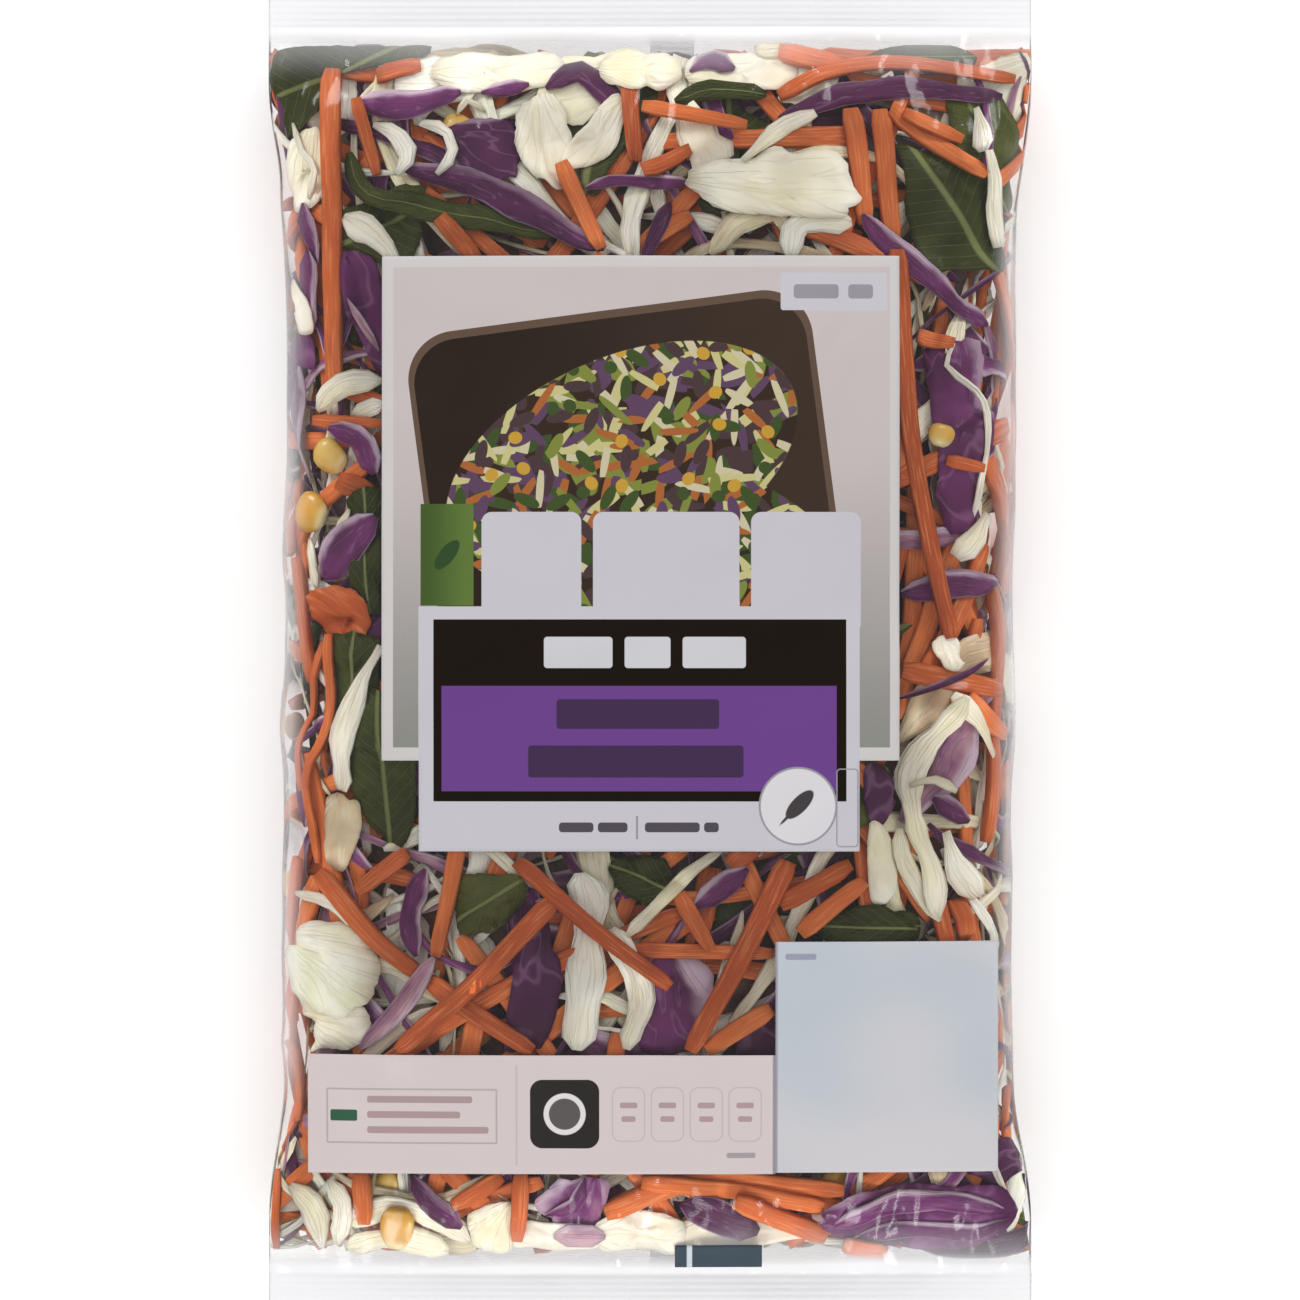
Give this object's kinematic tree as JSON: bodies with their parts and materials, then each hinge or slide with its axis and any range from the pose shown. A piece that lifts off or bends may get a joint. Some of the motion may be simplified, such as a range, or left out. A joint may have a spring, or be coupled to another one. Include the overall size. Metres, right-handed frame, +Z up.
{
  "type": "bag of stir-fry vegetables",
  "caption": "Sealed clear pillow bag of shredded stir-fry vegetables with printed panels on its front, lying on its back.",
  "frame": {"origin": "on the table, under the middle of the bag as it lies on its back", "axes": "+Z up through the printed front; +Y along the bag towards its top weld; +X across the bag, to the right as the front is read"},
  "size_m": [0.19, 0.33, 0.0436],
  "materials": {
    "bag_film": "clear glossy film over mixed shreds",
    "film_print": "glossy ink printed on the film: white, black, purple and grey fields",
    "carrot": "moist cut carrot",
    "red_cabbage": "waxy purple leaf with pale cut edges",
    "white_cabbage": "moist cream leaf and rib",
    "green_leaf": "dark green leaf with paler veins",
    "sweetcorn": "plump glossy kernels"
  },
  "bodies": {
    "root": {"bag": "bag_film"}
  },
  "joints": []
}
